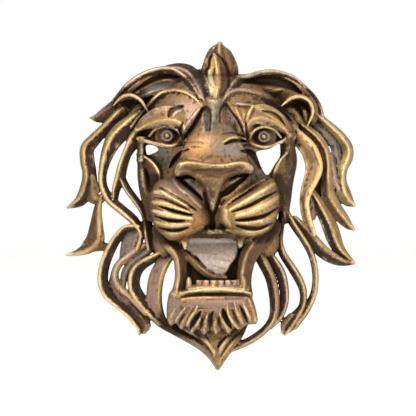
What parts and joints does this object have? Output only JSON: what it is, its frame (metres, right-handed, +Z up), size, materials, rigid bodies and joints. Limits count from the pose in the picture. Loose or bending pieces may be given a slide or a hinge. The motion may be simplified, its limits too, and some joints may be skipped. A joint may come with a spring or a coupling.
{
  "type": "lion head wall mask",
  "caption": "Lion head wall mask with an open roaring mouth, a pierced mane of curling locks and a hollow back, cast in bronze-painted resin.",
  "frame": {"origin": "middle of the flat pad behind the crest, on the wall plane", "axes": "+Z up the wall, the face looks along -Y, +X to the right as seen from the front"},
  "size_m": [0.1854, 0.072, 0.21],
  "materials": {
    "bronze_painted_resin": "cast resin painted as aged bronze, dark umber in the recesses and old gold brushed over the raised edges"
  },
  "bodies": {
    "root": {"lion_head_mask": "bronze_painted_resin"}
  },
  "joints": []
}
